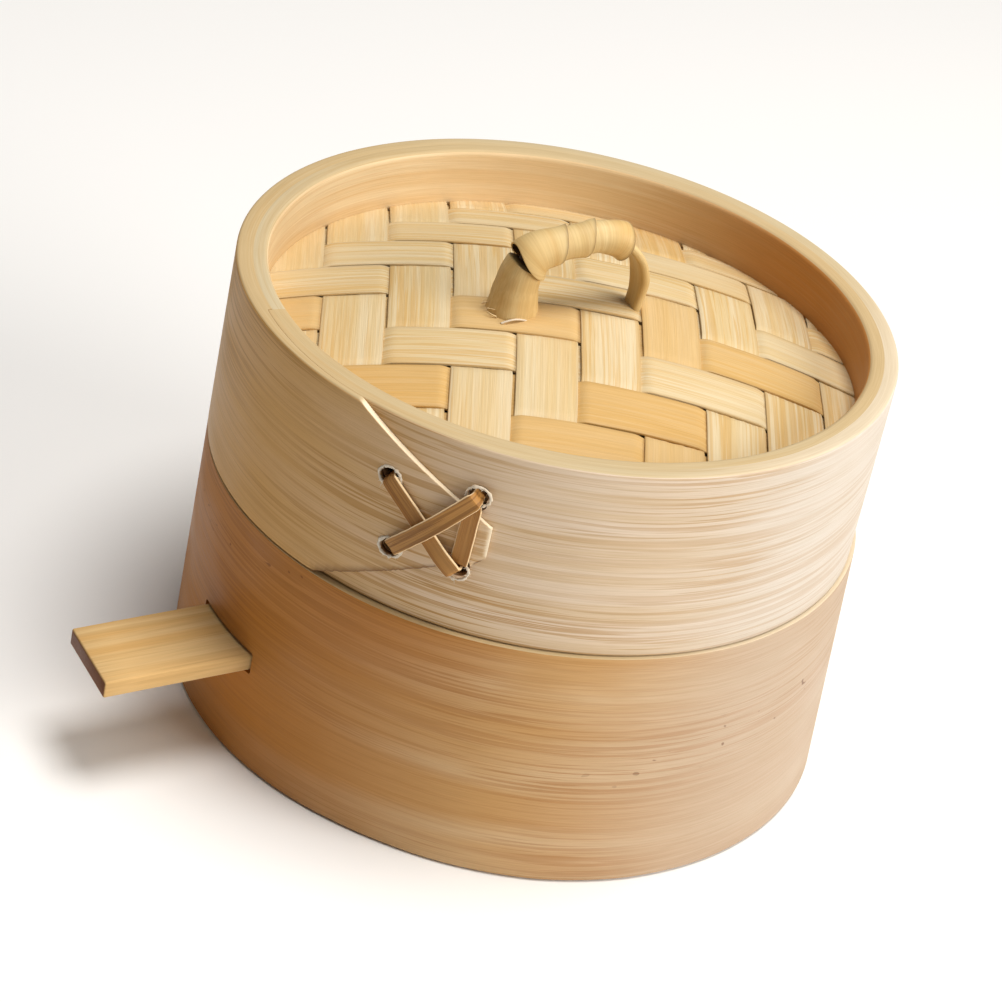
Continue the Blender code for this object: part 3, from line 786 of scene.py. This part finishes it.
def hole_frays(hoop, lift, seed):
    """Roots of the torn fibres round each lacing hole's mouth, and which way each one bends."""
    rng = random.Random(seed)
    roots = []
    for turn, height in HOLE_MOUTHS:
        for _ in range(40):
            angle = rng.uniform(0, 2 * math.pi)
            reach = HOLE_RADIUS + rng.uniform(-0.05, 0.45)
            across = math.cos(angle) * reach * 1.1
            up = math.sin(angle) * reach * 0.94
            at = turn + math.degrees(across / FIBRE_RADIUS)
            outward = polar(1.0, hoop["lap"] + at, 0.0)
            sideways = polar(1.0, hoop["lap"] + at + 90, 0.0)
            away = sideways * math.cos(angle) + Vector((0, 0, 1)) * math.sin(angle)
            swirl = sideways * -math.sin(angle) + Vector((0, 0, 1)) * math.cos(angle)
            direction = (outward * rng.uniform(0.2, 0.8) + away * rng.uniform(-0.5, 0.7)
                         + swirl * rng.uniform(-0.9, 0.9)).normalized()
            root = polar(wall_surface(hoop, at) - 0.1, hoop["lap"] + at, height + up + lift)
            roots.append((root, direction))
    return roots


def wall_surface(hoop, turn):
    """The outer radius of the wall's top layer at a turn near the lap."""
    return along(hoop["outside"], turn + 360 if turn < 0.6 else turn)


def hole_burrs(name, hoop, lift, place, material, seed):
    """The raised, torn lip round each lacing hole: a ragged ring with thin and thick places."""
    rng = random.Random(seed)
    bm = bmesh.new()
    fibres = []
    around, sides = 30, 6
    for number, (turn, height) in enumerate(HOLE_MOUTHS):
        rings = []
        for k in range(around):
            angle = 2 * math.pi * k / around
            thick = 0.36 * (1 + 0.8 * wobble(k * 1.3, number * 5.0, seed)) * rng.uniform(0.5, 1.35)
            reach = HOLE_RADIUS + 0.22 + 0.18 * wobble(k * 0.9, number * 3.0, seed + 2)
            verts = []
            for side in range(sides):
                bend = 2 * math.pi * side / sides
                out = reach + thick * math.cos(bend)
                at = turn + math.degrees(math.cos(angle) * out * 1.1 / FIBRE_RADIUS)
                level = height + lift + math.sin(angle) * out * 0.94
                radius = wall_surface(hoop, at) + thick * (0.15 + 0.9 * math.sin(bend))
                radius += lean(hoop, hoop["lap"] + at, level)
                verts.append(bm.verts.new(place @ (polar(radius, hoop["lap"] + at, level) * MM)))
                fibres.append((angle * reach * MM, bend * thick * MM, number * 0.02))
            rings.append(verts)
        for low, high in zip(rings, rings[1:] + rings[:1]):
            for side in range(sides):
                ahead = (side + 1) % sides
                bm.faces.new((low[side], low[ahead], high[ahead], high[side]))
    return torn_object(name, bm, fibres, material, sharp=70)


# ---- woven dome

def dome_height(x, y):
    return CROWN - (x * x + y * y) / (2 * DOME_RADIUS)


def warp_is_over(warp, weft):
    """Two over, two under, each row stepped by one: a two-and-two twill."""
    return (weft - warp) % 4 >= 2


def strip_lift(index, is_warp, s):
    """How far the strip stands above or below the mat's middle at `s` along it."""
    offset = WEFT_OFFSET if is_warp else WARP_OFFSET
    position = (s - offset) / STRIP_PITCH
    nearest = math.floor(position + 0.5)
    lifts = []
    for other in (nearest - 1, nearest, nearest + 1):
        over = warp_is_over(index, other) if is_warp else not warp_is_over(other, index)
        lifts.append(0.52 if over else -0.52)
    away = (position - nearest) * STRIP_PITCH
    half = STRIP_PITCH / 2
    reach = 2.4
    before = 1 - eased(-half - reach, -half + reach, away)
    after = eased(half - reach, half + reach, away)
    return lifts[1] * (1 - before - after) + lifts[0] * before + lifts[2] * after


def mat_strip(name, index, is_warp, width, tint, seed):
    middle = STRIP_PITCH * index + (WARP_OFFSET if is_warp else WEFT_OFFSET)
    turn = Matrix.Rotation(math.radians(WEAVE_TURN), 4, "Z")
    steps = 190
    sections = []
    for step in range(steps + 1):
        share = 2 * step / steps - 1
        section = []
        for a, b in profile(-width / 2, width / 2, -0.33, 0.33, (0.2,) * 4, 2, 10, bends=3):
            across_strip = middle + a
            limit = max(MAT_REACH ** 2 - across_strip ** 2, 4.0)
            s = share * math.sqrt(limit)
            edge = 0.10 * wobble(s * 0.08, seed * 31 + (3 if a > 0 else 0))
            across_strip += edge * abs(a) / (width / 2)
            x, y = (across_strip, s) if is_warp else (s, across_strip)
            lift = strip_lift(index, is_warp, s)
            cup = 0.10 * (1 - (2 * a / width) ** 2) * (1 if lift > 0 else -1)
            height = dome_height(x, y) + lift + b + cup
            height += 0.06 * wobble(s * 0.07, a * 0.08, seed * 17)
            near_edge = eased(0.86, 1.0, abs(2 * a / width))
            section.append((turn @ Vector((x, y, height)), (s, a, b), 0.28 * near_edge))
        sections.append(section)
    return skin(name, sections, LID, MATS["mat"], seed=seed, tint=tint)


# ---- build

def add_lid():
    hoop = wound_hoop("lid_wall", LID_HOOP, LID, MATS["lid_wall"], 0.31, 0.24, 0.7)
    cut_out(hoop, lace_cutters("lid", LID_HOOP, 0.0), LID)
    relayer_hoop(hoop, LID_HOOP, LID, 0.31, 0.0, MATS["rim"])
    attach(hoop, "lid", "lid_hoop", "lid_outer_hoop")
    # The ring starts where the wound strip does, so that the rim's grain runs over both
    upper = ring("lid_inner_hoop", 72.8, 76.5, 32.9, 48.4, LID, MATS["lid_ring"], 0.31,
                 (0.02, 0.3, 0.5, 1.2), hue=RIM_HUE, start=LID_HOOP["lap"] + FIRST_TURN,
                 rim=MATS["rim"])
    attach(upper, "lid", "lid_hoop", "lid_upper_ring")
    lower = ring("lid_ledge_hoop", 72.8, 76.3, 8.9, 28.8, LID, MATS["lid_ring"], 1.23,
                 (0.3, 0.4, 0.5, 0.4))
    attach(lower, "lid", "lid_hoop", "lid_lower_ring")
    add_frays("lid", LID_HOOP, 0.0, LID, 5)


def add_frays(body, hoop, lift, place, seed):
    frays = splinters(f"{body}_hole_frays", hole_frays(hoop, lift, seed), place, MATS["torn"],
                      seed, 1.0, 0.17)
    attach(frays, body, f"{body}_hoop")
    burrs = hole_burrs(f"{body}_hole_burrs", hoop, lift, place, MATS["torn"], seed)
    attach(burrs, body, f"{body}_hoop")


def add_laces(prefix, lap, lift, out, place, body):
    runs = [
        ("lace_fall", HOLE_A, HOLE_D, [81.9, 81.9, 81.9, 82.1, 82.6, 83.1, 83.1]),
        ("lace_upright", HOLE_B_LOW, HOLE_D_RIGHT, [81.7, 81.7, 81.7, 81.7, 81.7]),
        ("lace_rise", HOLE_C, HOLE_B, [81.9, 83.0, 83.8, 84.1, 84.0, 83.5, 83.1]),
    ]
    for k, (label, start, end, radii) in enumerate(runs):
        item = lace(f"{prefix}_cane_{label[5:]}", start, end, [radius + out for radius in radii],
                    77.3 + out, lap, lift, place, MATS["cane"], 0.41 + 0.23 * k + out * 0.1,
                    0.85)
        attach(item, body, "cane_lacing", f"{prefix}_{label}")


def add_basket():
    hoop = wound_hoop("basket_wall", BASKET_HOOP, BASKET, MATS["basket_wall"], 0.52, 0.24, 0.35)
    cutters = lace_cutters("basket", BASKET_HOOP, BASKET_LACE_RAISE)
    low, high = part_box("handle_bar")
    middle = Vector((-80.0, 0.0, (low.z + high.z) / 2 / MM))
    cutters.append(block_cutter("handle_slot", (20.0, 24.2, 6.0), middle))
    cut_out(hoop, cutters, BASKET)
    relayer_hoop(hoop, BASKET_HOOP, BASKET, 0.52, BASKET_LACE_RAISE, MATS["rim"])
    attach(hoop, "basket", "basket_hoop", "basket_outer_hoop")
    upper = ring("basket_spigot_hoop", 72.7, 76.3, 32.3, 70.3, BASKET, MATS["basket_wall"], 1.61,
                 (0.6, 0.3, 0.3, 0.6))
    attach(upper, "basket", "basket_hoop", "basket_upper_ring")
    lower = ring("basket_foot_hoop", 72.7, 76.3, 0.05, 24.6, BASKET, MATS["basket_wall"], 1.93,
                 (0.3, 0.5, 0.5, 0.3))
    attach(lower, "basket", "basket_hoop", "basket_lower_ring")
    add_frays("basket", BASKET_HOOP, BASKET_LACE_RAISE, BASKET, 9)


def add_board_for(node, name, material, slot, seed, slant=0.0):
    """A detailed bar where the basket's CAD bar lies, along X or Y as its box is longer."""
    low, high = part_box(node)
    centre = (low + high) / 2
    size = (high - low) / MM
    place = Matrix.Translation(centre)
    if size.y > size.x:
        place = place @ Matrix.Rotation(math.radians(90), 4, "Z")
    length, width = max(size.x, size.y), min(size.x, size.y)
    item = board(name, length, width, size.z, place, material, seed, slant=slant)
    attach(item, "basket", slot, node)


def add_rack():
    add_board_for("handle_bar", "stick_handle", MATS["handle"], "handle_bar", 0.13, slant=2.3)
    bars = [(f"support_{side}", f"bar_{side}", 0.6 + 0.17 * k)
            for k, side in enumerate(("left", "right"))]
    bars += [(f"slat_{k}", f"strip_{k}", 1.0 + 0.19 * k) for k in range(1, 10)]
    for node, name, seed in bars:
        add_board_for(f"rack_{node}", f"rack_{name}", MATS["rack"], "rack_bamboo", seed)


def add_mat():
    warp_tints = [0.5, 0.45, 0.5, 0.4, 0.5, 0.4, 0.8, 0.5, 0.5, 0.5]
    weft_tints = [0.6, 0.9, 0.95, 0.45, 0.85, 0.5, 0.45, 0.6, 0.5, 0.6]
    rng = random.Random(11)
    for k in range(FIRST_STRIP, LAST_STRIP + 1):
        row = k - FIRST_STRIP
        warp = mat_strip(f"mat_warp_strip_{row + 1}", k, True, rng.uniform(14.3, 14.8),
                         warp_tints[row], 0.21 + 0.13 * row)
        attach(warp, "lid", "mat_warp", f"mat_warp_{row + 1}")
        weft = mat_strip(f"mat_weft_strip_{row + 1}", k, False, rng.uniform(14.3, 14.8),
                         weft_tints[row], 1.71 + 0.13 * row)
        attach(weft, "lid", "mat_weft", f"mat_weft_{row + 1}")


def add_laths():
    for label, turn, dips in (("upper", LOOP_TURN + 45, False), ("lower", LOOP_TURN - 45, True)):
        path = []
        for k in range(-40, 41):
            x = 75.8 * k / 40
            drop = 2.05
            if dips:
                drop += 2.1 * (1 - eased(7.0, 24.0, abs(x)))
            path.append(Vector((x, 0.0, dome_height(x, 0.0) - drop)))
        place = LID @ Matrix.Rotation(math.radians(turn), 4, "Z")
        count = len(path)
        item = ribbon(f"dome_strut_{label}", path, [Vector((0, 1, 0))] * count, [9.0] * count,
                      [1.8] * count, place, MATS["rack"], 2.3 + turn * 0.01)
        attach(item, "lid", "rack_bamboo", f"dome_lath_{label}")


def loop_points():
    points = [
        (-14.9, 36.0), (-14.9, 46.0), (-15.1, 52.0), (-14.5, 57.0), (-12.6, 60.2),
        (-9.2, 61.9), (-4.7, 63.0), (0.0, 64.0), (4.1, 64.6), (8.3, 64.1), (12.0, 62.3),
        (15.2, 58.8), (17.0, 54.0), (17.4, 49.0), (RIGHT_FOOT, 44.0), (RIGHT_FOOT, 36.0),
    ]
    return [Vector((x, 0.0, z)) for x, z in points]


# Width and thickness of the loop's cane by the loop's own points; it necks in where its broad
# left leg ends at a straight cut and the bare core goes on under the sleeve
LOOP_WIDTHS = [
    (0, 10.5), (1, 10.5), (2, 9.8), (3.17, 9.6), (3.33, 4.0), (9.4, 3.6), (9.8, 6.4), (11, 8.4),
    (12, 8.2), (13, 6.4), (15, 5.0),
]
LOOP_THICKS = [
    (0, 13.0), (1, 12.6), (2, 9.8), (3.17, 7.0), (3.33, 3.6), (9.4, 3.0), (9.8, 2.2), (11, 2.0),
    (13, 2.2), (15, 2.4),
]
# The sleeve's radius by the share of its length
SLEEVE_RADII = [(0.0, 5.5), (0.15, 4.6), (0.35, 3.6), (0.7, 3.4), (1.0, 3.7)]


def add_loop():
    place = LID @ Matrix.Rotation(math.radians(LOOP_TURN), 4, "Z")
    steps = 6
    path = smooth_path(loop_points(), steps)
    at = [k / steps for k in range(len(path))]
    core = ribbon("loop_cane_core", path, [Vector((0, 1, 0))] * len(path),
                  [along(LOOP_WIDTHS, t) for t in at], [along(LOOP_THICKS, t) for t in at], place,
                  MATS["loop"], 2.9, round_share=0.42, crease=0.5)
    # The bare core under the sleeve is painted dark, as painted shade where it shows through the
    # gaps
    tones = core.data.attributes["tone"].data
    size = len(tones) // len(path)
    for k in range(len(tones)):
        if 3.25 < at[k // size] < 9.7:
            tones[k].value = 0.9
    attach(core, "lid", "loop_cane", "loop_core")
    add_wraps(path[2 * steps + 3:10 * steps + 2], place)
    add_peg()
    add_foot_frays(place)


class Tube:
    """Places round a path: how far along it, which way round, and how far out."""

    def __init__(self, path):
        self.path = path
        self.reach = [0.0]
        for a, b in zip(path, path[1:]):
            self.reach.append(self.reach[-1] + (b - a).length)
        self.length = self.reach[-1]

    def spot(self, distance, angle, radius):
        path, reach = self.path, self.reach
        distance = min(max(distance, 0.0), self.length - 0.001)
        k = min(bisect.bisect_right(reach, distance) - 1, len(path) - 2)
        share = (distance - reach[k]) / (reach[k + 1] - reach[k])
        ends = []
        for j in (k, k + 1):
            ends.append((path[min(j + 1, len(path) - 1)] - path[max(j - 1, 0)]).normalized())
        tangent = ends[0].lerp(ends[1], share).normalized()
        normal = tangent.cross(Vector((0, -1, 0)))
        return (path[k].lerp(path[k + 1], share) + normal * radius * math.cos(angle)
                + Vector((0, 1, 0)) * radius * math.sin(angle))


def add_wraps(path, place):
    """A broad flat strip wound three times round the top of the loop, each turn over the last."""
    tube = Tube(path)
    start = 3.0
    width = 8.6
    thick = 0.55
    turns = 3
    steps = 44
    pitch = (tube.length - start - width) / turns
    sections = []
    for step in range(turns * steps + 1):
        turn = step / steps
        angle = -2 * math.pi * turn
        left = start + pitch * turn
        right = left + width
        # The first turn's left edge and the last turn's right edge are slanting cuts
        first = 1 - eased(1.0, 1.2, turn)
        last = eased(turns - 1.2, turns - 1.0, turn)
        left += (start - 2.2 * math.cos(angle) - left) * first
        right += (tube.length - 0.1 - 1.5 * (1 - math.cos(angle)) - right) * last
        section = []
        for a, b in profile(left, right, 0.0, thick, (0.2,) * 4, 2, 10, bends=3):
            # Each turn starts under the one before and flares out over its own right edge
            across = min(max((a - start - pitch * turn) / width, 0.0), 1.0)
            radius = along(SLEEVE_RADII, (a - start) / (tube.length - start)) + b
            radius += 0.4 * eased(0.5, 1.0, across) - 0.2 * (1 - across)
            # The turns' inner faces are dark: painted shade inside the sleeve's hollow and the
            # cane's darker inner skin.
            hidden = 0.85 if b < 0.1 else 0.0
            near_edge = 0.6 * eased(0.93, 1.0, (a - left) / (right - left))
            section.append((tube.spot(a, angle, radius), (angle * 4.5, a, b),
                            max(hidden, near_edge)))
        sections.append(section)
    wrap = skin("loop_cane_wrap", sections, place, MATS["loop"], seed=3.3)
    attach(wrap, "lid", "loop_cane", "loop_wrap")


def add_peg():
    """The toggle stick under the dome that holds the loop's feet."""
    low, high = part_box("loop_toggle")
    place = Matrix.Translation((low + high) / 2)
    place = place @ Matrix.Rotation(math.radians(LOOP_TURN), 4, "Z")
    stick = board("loop_peg", 50.0, 2.6, 2.2, place, MATS["rack"], 3.7)
    attach(stick, "lid", "rack_bamboo", "loop_toggle")


def add_foot_frays(place):
    """Split fibres beside the broad foot, and the pale end of its strip curling up in front."""
    roots = []
    for k in range(7):
        root = Vector((LEFT_FOOT - 5.6, 4.0 - 1.2 * k, 45.4 + 0.6 * (k % 3)))
        roots.append((root, Vector((-0.85, 0.1 * (k - 3), 0.25)).normalized()))
    frays = splinters("loop_foot_frays", roots, place, MATS["loop"], 21, 2.2, 0.24)
    attach(frays, "lid", "loop_cane")
    widths = [1.2, 1.8, 2.2, 2.3, 2.3, 2.2, 1.9, 1.4, 0.8]
    count = len(widths)
    curl = [Vector((LEFT_FOOT - 5.4 + 1.1 * k, -5.6 + 0.02 * k * k,
                    45.0 + 0.7 * math.sin(k * 0.55))) for k in range(count)]
    tip = ribbon("loop_foot_tip", curl, [Vector((0, -0.8, 0.6))] * count, widths, [0.45] * count,
                 place, MATS["torn"], 0.8, end_tone=0.0)
    attach(tip, "lid", "loop_cane")


# ---- stage, light and camera

def add_stage():
    mesh = bpy.data.meshes.new("floor")
    size, level = 6.0, -0.0005
    corners = [(-size, -size, level), (size, -size, level), (size, size, level),
               (-size, size, level)]
    mesh.from_pydata(corners, [], [(0, 1, 2, 3)])
    floor = loose_object("floor", mesh)
    n = Nodes("pale_floor")
    n.shader.inputs["Base Color"].default_value = (0.94, 0.94, 0.94, 1.0)
    n.shader.inputs["Roughness"].default_value = 0.8
    mesh.materials.append(n.material)


def add_light(name, offset, size, watts, colour, aim):
    light = bpy.data.lights.new(name, "AREA")
    light.shape = "DISK"
    light.size = size
    light.energy = watts
    light.color = colour
    item = loose_object(name, light)
    item.location = aim + offset
    item.rotation_euler = (-offset).to_track_quat("-Z", "Y").to_euler()


def add_lights():
    world = bpy.data.worlds.new("soft_room")
    bpy.context.scene.world = world
    world.use_nodes = True
    background = world.node_tree.nodes["Background"]
    background.inputs["Color"].default_value = (1.0, 0.98, 0.95, 1.0)
    background.inputs["Strength"].default_value = 0.14
    aim = AXIS + Vector((0.0, 0.0, 0.06))
    right = Matrix.Rotation(math.radians(VIEW_TURN), 3, "Z")
    add_light("key", right @ Vector((1.15, -0.45, 0.60)), 0.9, 15.0, (1.0, 0.96, 0.90), aim)
    add_light("overhead", right @ Vector((0.2, 0.0, 1.5)), 0.8, 20.5, (1.0, 0.97, 0.93), aim)


# The camera: its direction round the object in degrees, its height angle and the small turns
# in radians, its distance in metres, and a lens fitted to the photograph's perspective
VIEW_TURN = -38.7
VIEW_LIFT = 0.4843
VIEW_DISTANCE = 0.850
VIEW_YAW = 0.0068
VIEW_PITCH = -0.0605
VIEW_ROLL = -0.2182
LENS = 36 * 3556.5 / 1002


def add_camera():
    """The camera looks at the rim's middle, then turns aside, tips and rolls by small angles."""
    place = Vector((0.0, -math.cos(VIEW_LIFT), math.sin(VIEW_LIFT))) * VIEW_DISTANCE
    ahead = -place.normalized()
    side = Vector((1.0, 0.0, 0.0))
    up = side.cross(ahead)
    yaw = Matrix.Rotation(VIEW_YAW, 3, up)
    ahead, side = yaw @ ahead, yaw @ side
    pitch = Matrix.Rotation(VIEW_PITCH, 3, side)
    ahead, up = pitch @ ahead, pitch @ up
    roll = Matrix.Rotation(VIEW_ROLL, 3, ahead)
    side, up = roll @ side, roll @ up
    turn = Matrix.Rotation(math.radians(VIEW_TURN), 3, "Z")
    basis = Matrix((turn @ side, turn @ up, turn @ -ahead)).transposed()
    camera = bpy.data.cameras.new("camera")
    camera.sensor_width = 36.0
    camera.lens = LENS
    camera.clip_start = 0.01
    camera.clip_end = 50.0
    item = loose_object("camera", camera)
    middle = AXIS + Vector((0.0, 0.0, RIM_TOP))
    item.matrix_world = Matrix.Translation(middle + turn @ place) @ basis.to_4x4()
    bpy.context.scene.camera = item


bpy.context.scene.view_settings.view_transform = "Standard"
add_camera()
add_stage()
add_lights()
add_basket()
add_laces("basket", BASKET_HOOP["lap"], BASKET_LACE_RAISE, BASKET_LACE_OUT, BASKET, "basket")
add_rack()
add_lid()
add_laces("lid", LID_HOOP["lap"], 0.0, 0.0, LID, "lid")
add_mat()
add_laths()
add_loop()
